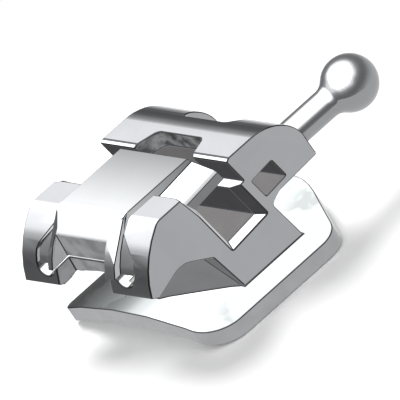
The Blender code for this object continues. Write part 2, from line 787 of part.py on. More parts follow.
def stand_on_origin(pieces):
    """Hangs everything on one empty, with the origin under the middle of the box, level with its bottom."""
    root = bpy.data.objects.new("bracket", None)
    bpy.context.scene.collection.objects.link(root)
    for each in bpy.context.scene.collection.objects:
        if each is not root:
            each.parent = root
    bpy.context.view_layer.update()
    graph = bpy.context.evaluated_depsgraph_get()
    points = []
    for piece in pieces:
        evaluated = piece.evaluated_get(graph)
        mesh = evaluated.to_mesh()
        points += [evaluated.matrix_world @ vertex.co for vertex in mesh.vertices]
        evaluated.to_mesh_clear()
    low = Vector([min(point[i] for point in points) for i in range(3)])
    high = Vector([max(point[i] for point in points) for i in range(3)])
    root.location = (-(low.x + high.x) / 2, -(low.y + high.y) / 2, -low.z)


def main():
    for old in list(bpy.data.objects):
        bpy.data.objects.remove(old, do_unlink=True)
    cast_steel = metal("cast_steel", (0.62, 0.64, 0.66), 0.14)
    gate_steel = metal("gate_steel", (0.68, 0.69, 0.71), 0.12)
    wire = metal("spring_wire", (0.72, 0.71, 0.69), 0.2)
    turned_steel = metal("turned_steel", (0.60, 0.62, 0.64), 0.1)
    rolled_steel = metal("rolled_steel", (0.70, 0.71, 0.73), 0.16)
    pieces = [
        make_body(cast_steel),
        make_gate(gate_steel),
        make_spring(wire),
        make_hook(turned_steel),
        make_pad(rolled_steel),
        make_studs(rolled_steel),
    ]
    stand_on_origin(pieces)


main()
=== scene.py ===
from math import cos, pi, radians, sin, sqrt, tan

import bmesh
import bpy
from mathutils import Matrix, Vector


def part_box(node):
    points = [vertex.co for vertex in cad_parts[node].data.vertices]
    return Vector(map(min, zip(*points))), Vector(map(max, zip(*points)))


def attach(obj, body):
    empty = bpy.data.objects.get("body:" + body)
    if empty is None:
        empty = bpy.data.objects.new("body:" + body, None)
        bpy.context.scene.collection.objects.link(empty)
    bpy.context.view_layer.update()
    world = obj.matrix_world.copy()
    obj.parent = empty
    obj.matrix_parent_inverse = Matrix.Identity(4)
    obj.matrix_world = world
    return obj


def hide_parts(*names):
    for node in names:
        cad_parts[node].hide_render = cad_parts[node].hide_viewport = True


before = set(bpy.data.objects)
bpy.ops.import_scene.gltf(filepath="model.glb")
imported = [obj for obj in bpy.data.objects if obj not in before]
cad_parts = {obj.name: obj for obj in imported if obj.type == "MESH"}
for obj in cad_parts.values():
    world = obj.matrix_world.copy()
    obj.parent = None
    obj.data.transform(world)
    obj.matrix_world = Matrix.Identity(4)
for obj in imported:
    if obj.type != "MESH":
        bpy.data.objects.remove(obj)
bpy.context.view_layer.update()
scene = bpy.context.scene
scene.view_settings.view_transform = "Standard"
mm = 0.001
mostly = 0.5  # a face looks mostly one way where that part of its normal is larger
print("frame loaded")

# The slot frame: a runs along the slot before the skew, y towards the gum, z out of the slot.
# Lengths are in millimetres, here and in each piece's values.
bracket = {
    "torque": radians(7.1),
    "angulation": radians(20.66),
    "halfWidth": 1.4,
    "wingTop": 1.355,  # above the slot's flared floor
    "gumReach": 1.452,
    "tipReach": 1.742,
    "tipHeight": 0.297,
    "panelHalf": 0.745,
}


def slotY(y, z):  # pad-frame y and z give the slot-frame y
    return cos(bracket["torque"]) * y + sin(bracket["torque"]) * z


def findSlotOrigin():  # the slot's middle, read off the body's box
    low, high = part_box("bracket_body")
    lean = tan(bracket["angulation"]) * slotY(-bracket["tipReach"], bracket["tipHeight"])
    return Vector((
        low[0] + (bracket["halfWidth"] - lean) * mm,
        high[1] - bracket["gumReach"] * mm,
        high[2] - bracket["wingTop"] * mm,
    ))


slotOrigin = findSlotOrigin()


def slotTurn(x, y, z):  # a direction of the slot frame as one of the part
    t = bracket["torque"]
    return Vector((x, cos(t) * y - sin(t) * z, sin(t) * y + cos(t) * z))


def slotPoint(a, y, z):  # slot-frame millimetres to metres in the part
    return slotOrigin + slotTurn(a + tan(bracket["angulation"]) * y, y, z) * mm


# The camera looks from above the near side, as in the photograph.
view = {
    "right": (0.692, 0.466, -0.551),  # slot-frame directions that the photograph gives
    "back": (0.7135, -0.3295, 0.617),
    "pixelsPerMm": 65.3,
    "slotEndAt": (250.65, 232.0),  # pixel of the slot's middle at the near side face
    "imageSize": 400,
    "distance": 20.0,
    "clip": (0.1, 500.0),
}


def makeCamera():
    right = slotTurn(*view["right"]).normalized()
    back = slotTurn(*view["back"]).normalized()
    up = back.cross(right).normalized()
    right = up.cross(back)
    scale = view["pixelsPerMm"]
    half = view["imageSize"] / 2
    aside = (half - view["slotEndAt"][0]) / scale
    above = (view["slotEndAt"][1] - half) / scale
    place = slotPoint(bracket["halfWidth"], 0, 0)
    place += (right * aside + up * above + back * view["distance"]) * mm
    data = bpy.data.cameras.new("photoCamera")
    data.type = "ORTHO"
    data.ortho_scale = view["imageSize"] / scale * mm
    data.clip_start = view["clip"][0] * mm
    data.clip_end = view["clip"][1] * mm
    camera = bpy.data.objects.new("photoCamera", data)
    camera.matrix_world = Matrix((
        (right.x, up.x, back.x, place.x),
        (right.y, up.y, back.y, place.y),
        (right.z, up.z, back.z, place.z),
        (0, 0, 0, 1),
    ))
    scene.collection.objects.link(camera)
    scene.camera = camera


makeCamera()
print("camera placed")


# Metals, each with its grain, patches and fine relief; several carry painted shade, and some patches
# are painted reflections.

class Nodes:  # a small helper for node trees
    def __init__(self, tree):
        self.tree = tree

    def add(self, kind, **settings):
        node = self.tree.nodes.new(kind)
        for name, value in settings.items():
            setattr(node, name, value)
        return node

    def join(self, start, end):
        self.tree.links.new(start, end)

    def ramp(self, source, stops):
        node = self.add("ShaderNodeValToRGB")
        while len(node.color_ramp.elements) < len(stops):
            node.color_ramp.elements.new(0.5)  # moved to its own place below
        for element, (place, value) in zip(node.color_ramp.elements, stops):
            element.position = place
            grey = isinstance(value, (int, float))
            element.color = (value, value, value, 1) if grey else (*value, 1)
        self.join(source, node.inputs[0])
        return node.outputs[0]

    def scale(self, source, low, high):
        node = self.add("ShaderNodeMapRange")
        node.inputs["To Min"].default_value = low
        node.inputs["To Max"].default_value = high
        self.join(source, node.inputs["Value"])
        return node.outputs[0]


usualLook = {  # what a metal has where its own values leave it out
    "metallic": 1.0,
    "edgeTint": 1.0,  # how much it mirrors at a grazing angle
    "patchEdges": (0.3, 0.7),  # where the dull patches end and the bright ones begin
    "grainDetail": 5,  # octaves of its noise
    "patchDetail": 3,
}


def steel(name, ownLook):
    look = {**usualLook, **ownLook}
    material = bpy.data.materials.new(name)
    material.use_nodes = True
    material.diffuse_color = (*look["colour"], 1)
    nodes = Nodes(material.node_tree)
    shader = material.node_tree.nodes["Principled BSDF"]
    shader.inputs["Metallic"].default_value = look["metallic"]
    edgeTint = look["edgeTint"]
    shader.inputs["Specular Tint"].default_value = (edgeTint, edgeTint, edgeTint, 1)
    place = nodes.add("ShaderNodeTexCoord").outputs["Object"]

    grainMap = nodes.add("ShaderNodeMapping")  # drawn out along the polishing strokes
    grainMap.inputs["Rotation"].default_value = look["strokeTurn"]
    grainMap.inputs["Scale"].default_value = look["strokeScale"]
    nodes.join(place, grainMap.inputs["Vector"])
    grain = nodes.add("ShaderNodeTexNoise")
    grain.inputs["Scale"].default_value = 1 / (look["strokeSize"] * mm)
    grain.inputs["Detail"].default_value = look["grainDetail"]
    nodes.join(grainMap.outputs[0], grain.inputs["Vector"])

    cloud = nodes.add("ShaderNodeTexNoise")  # soft patches left by tumbling; on the pad and in the pockets they are painted reflections
    cloud.inputs["Scale"].default_value = 1 / (look["patchSize"] * mm)
    cloud.inputs["Detail"].default_value = look["patchDetail"]
    nodes.join(place, cloud.inputs["Vector"])

    dark = tuple(channel * (1 - look["shade"]) for channel in look["colour"])
    dullTo, brightFrom = look["patchEdges"]
    colour = nodes.ramp(cloud.outputs[0], [(dullTo, dark), (brightFrom, look["colour"])])
    if "paintedShadeSpan" in look:  # painted shade: darker along one direction
        split = nodes.add("ShaderNodeSeparateXYZ")
        nodes.join(place, split.inputs[0])
        along = nodes.add("ShaderNodeMapRange")
        along.inputs["From Min"].default_value = look["paintedShadeSpan"][0] * mm
        along.inputs["From Max"].default_value = look["paintedShadeSpan"][1] * mm
        along.inputs["To Min"].default_value = 1
        along.inputs["To Max"].default_value = look["paintedShadeTo"]
        nodes.join(split.outputs[look["paintedShadeAlong"]], along.inputs["Value"])
        shadedColour = nodes.add("ShaderNodeVectorMath", operation="SCALE")
        nodes.join(colour, shadedColour.inputs[0])
        nodes.join(along.outputs[0], shadedColour.inputs["Scale"])
        colour = shadedColour.outputs[0]
    nodes.join(colour, shader.inputs["Base Color"])

    low, high = look["roughness"]
    both = nodes.add("ShaderNodeMath", operation="MULTIPLY")
    nodes.join(cloud.outputs[0], both.inputs[0])
    nodes.join(grain.outputs[0], both.inputs[1])
    nodes.join(nodes.scale(both.outputs[0], low, high), shader.inputs["Roughness"])

    bump = nodes.add("ShaderNodeBump")
    bump.inputs["Strength"].default_value = look["bump"]
    bump.inputs["Distance"].default_value = look["bumpDepth"] * mm
    nodes.join(grain.outputs[0], bump.inputs["Height"])
    nodes.join(bump.outputs[0], shader.inputs["Normal"])
    return material


# Sizes are in millimetres. shade darkens the patches, and strokeScale draws the grain out.
finishes = {
    "castSteel": {
        "colour": (0.375, 0.38, 0.395),
        "shade": 0.05,
        "roughness": (0.06, 0.16),
        "strokeTurn": (0, 0, radians(20)),
        "strokeScale": (1, 0.15, 1),
        "strokeSize": 0.05,
        "patchSize": 0.5,
        "bump": 0.05,
        "bumpDepth": 0.0008,
    },
    "gateSteel": {
        "colour": (0.46, 0.47, 0.48),
        "paintedShadeAlong": "Y",
        "paintedShadeSpan": (-1.55, -0.45),  # painted shade, darker from the fold towards the leading edge
        "paintedShadeTo": 0.42,
        "shade": 0.04,
        "roughness": (0.04, 0.13),
        "strokeTurn": (0, 0, radians(-20)),
        "strokeScale": (1, 0.06, 1),
        "strokeSize": 0.03,
        "patchSize": 0.6,
        "bump": 0.05,
        "bumpDepth": 0.0006,
    },
    "gateFlank": {
        "colour": (0.46, 0.47, 0.48),
        "shade": 0.04,
        "roughness": (0.05, 0.14),
        "strokeTurn": (0, 0, radians(-20)),
        "strokeScale": (1, 0.06, 1),
        "strokeSize": 0.03,
        "patchSize": 0.6,
        "bump": 0.05,
        "bumpDepth": 0.0006,
    },
    "springWire": {
        "colour": (0.60, 0.595, 0.58),
        "shade": 0.08,
        "roughness": (0.12, 0.28),
        "strokeTurn": (0, 0, 0),
        "strokeScale": (1, 0.1, 1),
        "strokeSize": 0.02,
        "patchSize": 0.2,
        "bump": 0.1,
        "bumpDepth": 0.0008,
    },
    "turnedSteel": {
        "colour": (0.315, 0.32, 0.33),
        "metallic": 0.72,
        "shade": 0.04,
        "roughness": (0.04, 0.12),
        "strokeTurn": (0, 0, radians(20)),
        "strokeScale": (0.4, 2.0, 0.4),
        "strokeSize": 0.03,
        "patchSize": 0.5,
        "bump": 0.04,
        "bumpDepth": 0.0005,
    },
    "rolledSteel": {
        # painted shade darkening towards +x, with crisp patches that are painted reflections of the
        # body
        "colour": (0.435, 0.455, 0.46),
        "paintedShadeAlong": "X",
        "paintedShadeSpan": (0.2, 1.0),
        "paintedShadeTo": 0.5,
        "shade": 0.22,
        "patchEdges": (0.465, 0.49),
        "roughness": (0.10, 0.20),
        "strokeTurn": (0, 0, radians(5)),
        "strokeScale": (0.1, 1, 1),
        "strokeSize": 0.04,
        "patchSize": 1.0,
        "bump": 0.06,
        "bumpDepth": 0.0008,
    },
    "edgePaintedShade": {
        # near-black: a painted dark reflection along the broken edges, and a painted shadow along the
        # foot seam
        "colour": (0.04, 0.04, 0.043),
        "shade": 0.1,
        "roughness": (0.03, 0.10),
        "strokeTurn": (0, 0, 0),
        "strokeScale": (1, 1, 1),
        "strokeSize": 0.05,
        "patchSize": 0.4,
        "bump": 0.02,
        "bumpDepth": 0.0005,
    },
    "paintedShadeFloor": {
        # painted shade on the floors inside the slot, the hole and the notch
        "colour": (0.064, 0.062, 0.062),
        "shade": 0.12,
        "roughness": (0.20, 0.34),
        "strokeTurn": (0, 0, 0),
        "strokeScale": (0.1, 1, 1),
        "strokeSize": 0.03,
        "patchSize": 0.3,
        "bump": 0.05,
        "bumpDepth": 0.0008,
    },
    "paintedShadeWall": {
        # painted shade on the walls inside the slot, the hole, the flare and the channels
        "colour": (0.062, 0.061, 0.066),
        "edgeTint": 0.5,
        "shade": 0.12,
        "roughness": (0.20, 0.34),
        "strokeTurn": (0, 0, 0),
        "strokeScale": (0.1, 1, 1),
        "strokeSize": 0.03,
        "patchSize": 0.3,
        "bump": 0.05,
        "bumpDepth": 0.0008,
    },
    "stemPaintedShade": {
        # painted shade on the stem under the wings and on the gate's rails
        "colour": (0.215, 0.217, 0.223),
        "edgeTint": 0.5,
        "shade": 0.08,
        "roughness": (0.14, 0.26),
        "strokeTurn": (0, 0, 0),
        "strokeScale": (1, 1, 0.2),
        "strokeSize": 0.04,
        "patchSize": 0.3,
        "bump": 0.05,
        "bumpDepth": 0.0008,
    },
    "sidePaintedShade": {
        # painted shade on the pad's edge faces and on the side walls of the gate's end recess
        "colour": (0.37, 0.375, 0.385),
        "shade": 0.1,
        "roughness": (0.16, 0.30),
        "strokeTurn": (0, 0, 0),
        "strokeScale": (1, 1, 0.1),
        "strokeSize": 0.03,
        "patchSize": 0.3,
        "bump": 0.08,
        "bumpDepth": 0.0008,
    },
    "pocketPaintedShade": {
        # painted shade in the tool notch, mottled with painted reflections
        "colour": (0.24, 0.245, 0.25),
        "edgeTint": 0.5,
        "shade": 0.72,
        "patchEdges": (0.40, 0.60),
        "roughness": (0.12, 0.25),
        "strokeTurn": (0, 0, 0),
        "strokeScale": (1, 1, 0.3),
        "strokeSize": 0.05,
        "patchSize": 0.2,
        "bump": 0.3,
        "bumpDepth": 0.004,
    },
    "recessPaintedShade": {
        # painted shade in the recesses of the lip and the gate's end, mottled
        "colour": (0.27, 0.272, 0.28),
        "shade": 0.40,
        "patchEdges": (0.40, 0.60),
        "roughness": (0.12, 0.25),
        "strokeTurn": (0, 0, 0),
        "strokeScale": (1, 1, 0.3),
        "strokeSize": 0.05,
        "patchSize": 0.35,
        "bump": 0.15,
        "bumpDepth": 0.002,
    },
    "etchedSteel": {
        "colour": (0.50, 0.50, 0.505),
        "shade": 0.25,
        "roughness": (0.28, 0.5),
        "strokeTurn": (0, 0, 0),
        "strokeScale": (1, 1, 1),
        "strokeSize": 0.02,
        "patchSize": 0.1,
        "bump": 0.4,
        "bumpDepth": 0.003,
    },
}
finish = {name: steel(name, look) for name, look in finishes.items()}
print("finishes made")


edgeSlot = 1  # number of the material slot that the broken edges take, near-black as a painted dark reflection
edgeBlend = 75  # degrees within which a broken edge takes on the normals of the faces beside it


def steadyNormals(mesh, smoothWithin):
    # Flat faces stay flat, arcs run smoothly, and the broken edges turn from one to the next.
    shape = bmesh.new()
    shape.from_mesh(mesh)
    shape.faces.ensure_lookup_table()
    weights = [face.calc_area() ** 2 for face in shape.faces]  # large faces lead
    near = cos(radians(smoothWithin))
    nearEdge = cos(radians(edgeBlend))
    normals = []
    for face in shape.faces:
        isEdge = face.material_index == edgeSlot
        for loop in face.loops:
            around = [f for f in loop.vert.link_faces if f.material_index != edgeSlot]
            if isEdge:
                chosen = [f for f in around if f.normal.dot(face.normal) > nearEdge]
                chosen = chosen or around or list(loop.vert.link_faces)
            else:
                chosen = [f for f in around if f.normal.dot(face.normal) > near]
            total = Vector()
            for f in chosen:
                total += f.normal * weights[f.index]
            normals.append(total.normalized() if total.length > 0 else face.normal.copy())
    shape.free()
    mesh.normals_split_custom_set(normals)


def plainMesh(piece):  # the piece with its modifiers worked in
    evaluated = piece.evaluated_get(bpy.context.evaluated_depsgraph_get())
    mesh = bpy.data.meshes.new_from_object(evaluated)
    piece.modifiers.clear()
    piece.data = mesh
    return mesh


def brokenEdges(name, node, look):  # a copy of the CAD node with small rounded edges
    shape = bmesh.new()
    shape.from_mesh(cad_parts[node].data)
    bmesh.ops.remove_doubles(shape, verts=shape.verts, dist=look["merge"] * mm)
    flat = radians(look["flatWithin"])
    bmesh.ops.dissolve_limit(shape, angle_limit=flat, verts=shape.verts, edges=shape.edges)
    mesh = bpy.data.meshes.new(name)
    shape.to_mesh(mesh)
    shape.free()
    mesh.shade_smooth()
    # the broken edges take near-black, a painted dark reflection
    for metal in (look["finish"], "edgePaintedShade", *look["inner"]):
        mesh.materials.append(finish[metal])
    piece = bpy.data.objects.new(name, mesh)
    piece.visible_glossy = False  # the polished faces mirror the tent and the table only
    scene.collection.objects.link(piece)
    edge = piece.modifiers.new("brokenEdge", "BEVEL")
    edge.limit_method = "ANGLE"
    edge.angle_limit = radians(look["sharpAbove"])
    edge.width = look["edge"] * mm
    edge.segments = look["steps"]
    edge.use_clamp_overlap = False
    edge.miter_outer = "MITER_ARC"
    edge.material = edgeSlot
    mesh = plainMesh(piece)
    steadyNormals(mesh, look["smoothWithin"])
    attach(piece, look["body"])
    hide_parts(node)
    print(name, len(mesh.polygons), "faces")
    return piece


# Lengths are in millimetres and angles in degrees. The inner finishes, mostly painted shade, go on
# single faces below.
cut = {
    "bodyCasting": {
        "node": "bracket_body",
        "body": "bracket",
        "slot": "cast_steel",
        "finish": "castSteel",
        "inner": ("paintedShadeFloor", "paintedShadeWall", "stemPaintedShade", "pocketPaintedShade", "recessPaintedShade"),
        "merge": 0.002,
        "flatWithin": 0.8,
        "edge": 0.018,
        "steps": 2,
        "sharpAbove": 25,
        "smoothWithin": 25,
    },
    "slidingGate": {
        "node": "sliding_gate",
        "body": "gate",
        "slot": "gate_steel",
        "finish": "gateSteel",
        "inner": ("gateFlank", "stemPaintedShade", "recessPaintedShade", "sidePaintedShade"),
        "merge": 0.002,
        "flatWithin": 0.8,
        "edge": 0.012,
        "steps": 2,
        "sharpAbove": 25,
        "smoothWithin": 14,  # the panel's fold stays crisp
    },
    "bondingPad": {
        "node": "bonding_pad",
        "body": "bracket",
        "slot": "rolled_steel",
        "finish": "rolledSteel",
        "inner": ("sidePaintedShade",),
        "merge": 0.002,
        "flatWithin": 0.3,
        "edge": 0.015,
        "steps": 2,
        "sharpAbove": 25,
        "smoothWithin": 25,
    },
    "ballHook": {
        "node": "ball_hook",
        "body": "bracket",
        "slot": "turned_steel",
        "finish": "turnedSteel",
        "inner": (),
        "merge": 0.0005,
        "flatWithin": 0.1,
        "edge": 0.010,
        "steps": 2,
        "sharpAbove": 40,
        "smoothWithin": 40,
    },
}
pieces = {name: brokenEdges(name, look["node"], look) for name, look in cut.items()}


# The studs, the wire and the braze line are grown with Geometry Nodes, then made plain meshes.

def newTree(name, inputs, output):  # a node tree with named inputs, its start mesh first
    group = bpy.data.node_groups.new(name, "GeometryNodeTree")
    sockets = {}
    for label, kind in inputs.items():
        sockets[label] = group.interface.new_socket(
            label, in_out="INPUT", socket_type="NodeSocket" + kind,
        )
    group.interface.new_socket(output, in_out="OUTPUT", socket_type="NodeSocketGeometry")
    return group, sockets


def endTree(nodes, geometry, metal):
    realized = nodes.add("GeometryNodeRealizeInstances")
    nodes.join(geometry, realized.inputs["Geometry"])
    paint = nodes.add("GeometryNodeSetMaterial")
    paint.inputs["Material"].default_value = finish[metal]
    nodes.join(realized.outputs[0], paint.inputs["Geometry"])
    nodes.join(paint.outputs[0], nodes.add("NodeGroupOutput").inputs[0])


def calc(nodes, operation, one, two=None):
    node = nodes.add("ShaderNodeMath", operation=operation)
    for socket, value in zip(node.inputs, (one, two)):
        if isinstance(value, (int, float)):
            socket.default_value = value
        elif value is not None:
            nodes.join(value, socket)
    return node.outputs[0]


def grown(name, start, group, values, look):  # values: pairs of an input socket and what it gets
    piece = bpy.data.objects.new(name, start)
    piece.visible_glossy = False
    scene.collection.objects.link(piece)
    modifier = piece.modifiers.new(name, "NODES")
    modifier.node_group = group
    for socket, value in values:
        modifier[socket.identifier] = value
    mesh = plainMesh(piece)
    mesh.shade_smooth()
    mesh.set_sharp_from_angle(angle=radians(look["sharpAbove"]))
    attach(piece, look["body"])
    if "node" in look:
        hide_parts(look["node"])
    print(name, len(mesh.polygons), "faces")
    return piece


studField = {
    "node": "retention_studs",
    "body": "bracket",
    "slot": "stud_foil",
    "finish": "etchedSteel",
    "pitch": 0.3175,
    "countAcross": 13,
    "countAlong": 13,
    "side": 0.19,
    "height": 0.08,
    "root": 0.02,  # how far a stud reaches into the foil
    "edge": 0.015,
    "edgeSteps": 2,
    "edgeProfile": 0.5,  # round
    "foil": 0.05,
    "bend": 6.23,
    "level": -0.719,  # top of the foil in the pad frame
    "trimAbove": 0.1,
    "trimBelow": 0.4,
    "merge": 0.0005,
    "flatWithin": 0.1,
    "sharpAbove": 40,
}


def foilSheet():  # the top faces of the CAD foil, which carry its plan
    sheet = bmesh.new()
    sheet.from_mesh(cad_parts["retention_studs"].data)
    bmesh.ops.remove_doubles(sheet, verts=sheet.verts, dist=studField["merge"] * mm)
    below = [face for face in sheet.faces if face.normal.z < mostly]
    bmesh.ops.delete(sheet, geom=below, context="FACES")
    flat = radians(studField["flatWithin"])
    bmesh.ops.dissolve_limit(sheet, angle_limit=flat, verts=sheet.verts, edges=sheet.edges)
    return sheet


def thickened(name, sheet, above, below):
    shape = bmesh.new()
    upper = {v: shape.verts.new(v.co + Vector((0, 0, above * mm))) for v in sheet.verts}
    lower = {v: shape.verts.new(v.co - Vector((0, 0, below * mm))) for v in sheet.verts}
    for face in sheet.faces:
        shape.faces.new([upper[v] for v in face.verts])
        shape.faces.new([lower[v] for v in reversed(face.verts)])
    for edge in sheet.edges:
        if len(edge.link_faces) == 1:
            one, two = edge.verts
            shape.faces.new((upper[one], lower[one], lower[two], upper[two]))
    bmesh.ops.recalc_face_normals(shape, faces=shape.faces)
    mesh = bpy.data.meshes.new(name)
    shape.to_mesh(mesh)
    shape.free()
    return mesh


def studBlock():  # one stud with broken edges, skewed like the pad
    side = studField["side"] * mm
    top = studField["root"] * mm
    low = -studField["height"] * mm
    shape = bmesh.new()
    bmesh.ops.create_cube(shape, size=1)
    for vertex in shape.verts:
        vertex.co = (vertex.co.x * side, vertex.co.y * side, top if vertex.co.z > 0 else low)
    bmesh.ops.bevel(
        shape,
        geom=list(shape.edges),
        offset=studField["edge"] * mm,
        segments=studField["edgeSteps"],
        profile=studField["edgeProfile"],
        affect="EDGES",
    )
    lean = tan(bracket["angulation"]) * cos(bracket["torque"])
    for vertex in shape.verts:
        vertex.co.x += lean * vertex.co.y
    mesh = bpy.data.meshes.new("studBlock")
    shape.to_mesh(mesh)
    shape.free()
    return mesh


def helper(name, mesh):
    thing = bpy.data.objects.new(name, mesh)
    scene.collection.objects.link(thing)
    return thing


def studTree():  # studs on a skewed grid, bent with the pad and trimmed to its outline
    group, sockets = newTree("studField", {
        "Foil": "Geometry",
        "Stud": "Object",
        "Plan": "Object",
        "Pitch": "Float",
        "Count across": "Int",
        "Count along": "Int",
        "Bend": "Float",
        "Level": "Float",
        "Lean with y": "Float",
        "Lean with z": "Float",
        "Origin": "Vector",
    }, "Studs")
    nodes = Nodes(group)
    given = nodes.add("NodeGroupInput").outputs

    grid = nodes.add("GeometryNodeMeshGrid")
    for axis, count in (("X", "Count across"), ("Y", "Count along")):
        nodes.join(given[count], grid.inputs["Vertices " + axis])
        steps = calc(nodes, "SUBTRACT", given[count], 1)
        nodes.join(calc(nodes, "MULTIPLY", steps, given["Pitch"]), grid.inputs["Size " + axis])

    place = nodes.add("ShaderNodeSeparateXYZ")
    nodes.join(nodes.add("GeometryNodeInputPosition").outputs[0], place.inputs[0])
    a, y = place.outputs["X"], place.outputs["Y"]
    square = calc(nodes, "MULTIPLY", given["Bend"], given["Bend"])
    drop = calc(nodes, "SQRT", calc(nodes, "SUBTRACT", square, calc(nodes, "MULTIPLY", a, a)))
    z = calc(nodes, "ADD", given["Level"], calc(nodes, "SUBTRACT", drop, given["Bend"]))
    leanY = calc(nodes, "MULTIPLY", given["Lean with y"], y)
    leanZ = calc(nodes, "MULTIPLY", given["Lean with z"], z)
    bent = nodes.add("ShaderNodeCombineXYZ")
    nodes.join(calc(nodes, "ADD", a, calc(nodes, "ADD", leanY, leanZ)), bent.inputs[0])
    nodes.join(y, bent.inputs[1])
    nodes.join(z, bent.inputs[2])
    moved = nodes.add("ShaderNodeVectorMath", operation="ADD")
    nodes.join(bent.outputs[0], moved.inputs[0])
    nodes.join(given["Origin"], moved.inputs[1])
    outward = nodes.add("ShaderNodeCombineXYZ")
    nodes.join(a, outward.inputs[0])
    nodes.join(drop, outward.inputs[2])
    turn = nodes.add("FunctionNodeAlignRotationToVector", axis="Z")
    nodes.join(outward.outputs[0], turn.inputs["Vector"])
    capture = nodes.add("GeometryNodeCaptureAttribute", domain="POINT")
    capture.capture_items.new("ROTATION", "turn")
    nodes.join(grid.outputs["Mesh"], capture.inputs["Geometry"])
    nodes.join(turn.outputs[0], capture.inputs["turn"])
    lift = nodes.add("GeometryNodeSetPosition")
    nodes.join(capture.outputs["Geometry"], lift.inputs["Geometry"])
    nodes.join(moved.outputs[0], lift.inputs["Position"])

    block = nodes.add("GeometryNodeObjectInfo")
    nodes.join(given["Stud"], block.inputs["Object"])
    spread = nodes.add("GeometryNodeInstanceOnPoints")
    nodes.join(lift.outputs[0], spread.inputs["Points"])
    nodes.join(block.outputs["Geometry"], spread.inputs["Instance"])
    nodes.join(capture.outputs["turn"], spread.inputs["Rotation"])
    solidStuds = nodes.add("GeometryNodeRealizeInstances")
    nodes.join(spread.outputs[0], solidStuds.inputs["Geometry"])

    trim = nodes.add("GeometryNodeMeshBoolean", operation="INTERSECT", solver="EXACT")
    outline = nodes.add("GeometryNodeObjectInfo")
    nodes.join(given["Plan"], outline.inputs["Object"])
    nodes.join(solidStuds.outputs[0], trim.inputs["Mesh 2"])
    nodes.join(outline.outputs["Geometry"], trim.inputs["Mesh 2"])
    together = nodes.add("GeometryNodeJoinGeometry")
    nodes.join(trim.outputs["Mesh"], together.inputs[0])
    nodes.join(given["Foil"], together.inputs[0])
    endTree(nodes, together.outputs[0], studField["finish"])
    return group, sockets


def growStuds():
    group, sockets = studTree()
    sheet = foilSheet()
    foil = thickened("padStuds", sheet, 0, studField["foil"])
    block = helper("studBlock", studBlock())
    plan = thickened("foilPlan", sheet, studField["trimAbove"], studField["trimBelow"])
    prism = helper("foilPlan", plan)
    sheet.free()
    values = {
        "Stud": block,
        "Plan": prism,
        "Pitch": studField["pitch"] * mm,
        "Count across": studField["countAcross"],
        "Count along": studField["countAlong"],
        "Bend": studField["bend"] * mm,
        "Level": (studField["level"] - studField["foil"]) * mm,
        "Lean with y": tan(bracket["angulation"]) * cos(bracket["torque"]),
        "Lean with z": tan(bracket["angulation"]) * sin(bracket["torque"]),
        "Origin": slotOrigin,
    }
    settings = [(sockets[label], value) for label, value in values.items()]
    piece = grown("padStuds", foil, group, settings, studField)
    for thing in (block, prism):
        bpy.data.objects.remove(thing, do_unlink=True)
    return piece


wire = {
    "node": "gate_spring",
    "body": "bracket",
    "slot": "spring_wire",
    "finish": "springWire",
    "radius": 0.06,
    "sides": 24,
    "legAt": 0.87,
    "tipY": -1.536,
    "crossY": -0.62,
    "bend": 0.10,
    "bendSteps": 8,
    "level": 0.71,
    "detentRise": 0.13,
    "detentRamp": 0.375,
    "detentSteps": 20,
    "sharpAbove": 40,
}


def wireRoute():  # half of the bent wire, mirrored to the other side
    half, bend = wire["legAt"], wire["bend"]
    cross, level = wire["crossY"], wire["level"]
    route = [(half, wire["tipY"], level)]
    for i in range(wire["bendSteps"] + 1):
        t = pi / 2 * i / wire["bendSteps"]
        route.append((half - bend + bend * cos(t), cross - bend + bend * sin(t), level))
    for i in range(wire["detentSteps"] + 1):
        share = i / wire["detentSteps"]
        rise = wire["detentRise"] * (1 - cos(pi * share)) / 2
        route.append((wire["detentRamp"] * (1 - share), cross, level + rise))
    return route + [(-a, y, z) for a, y, z in reversed(route[:-1])]


def sweptWire(name, route, look):  # a round wire along the edges of the route
    group, sockets = newTree(name, {"Route": "Geometry", "Radius": "Float", "Sides": "Int"}, "Wire")
    nodes = Nodes(group)
    given = nodes.add("NodeGroupInput").outputs
    path = nodes.add("GeometryNodeMeshToCurve")
    nodes.join(given["Route"], path.inputs[0])
    ring = nodes.add("GeometryNodeCurvePrimitiveCircle")
    nodes.join(given["Radius"], ring.inputs["Radius"])
    nodes.join(given["Sides"], ring.inputs["Resolution"])
    sweep = nodes.add("GeometryNodeCurveToMesh")
    nodes.join(path.outputs[0], sweep.inputs["Curve"])
    nodes.join(ring.outputs["Curve"], sweep.inputs["Profile Curve"])
    sweep.inputs["Fill Caps"].default_value = True
    endTree(nodes, sweep.outputs[0], look["finish"])
    settings = [(sockets["Radius"], look["radius"] * mm), (sockets["Sides"], look["sides"])]
    return grown(name, route, group, settings, look)


def growWire():
    points = [slotPoint(*place) for place in wireRoute()]
    route = bpy.data.meshes.new("gateSpring")
    route.from_pydata(points, [(i, i + 1) for i in range(len(points) - 1)], [])
    return sweptWire("gateSpring", route, wire)


seam = {  # the braze line round the foot of the stem, near-black as a painted shadow in the gap
    "body": "bracket",
    "slot": "cast_steel",
    "finish": "edgePaintedShade",
    "radius": 0.022,
    "sides": 10,
    "padLevel": -0.539,  # the foot's crown in the pad frame
    "padBend": 6.4,
    "within": 0.03,  # how near the foot's faces lie to that curve
    "merge": 0.0005,
    "sharpAbove": 60,
}


def abovePad(point):  # how far a point lies above the foot's curve, in millimetres
    offset = (point - slotOrigin) / mm
    a = offset.x - tan(bracket["angulation"]) * slotY(offset.y, offset.z)
    bend = seam["padBend"]
    return offset.z - (seam["padLevel"] + sqrt(max(bend * bend - a * a, 0)) - bend)


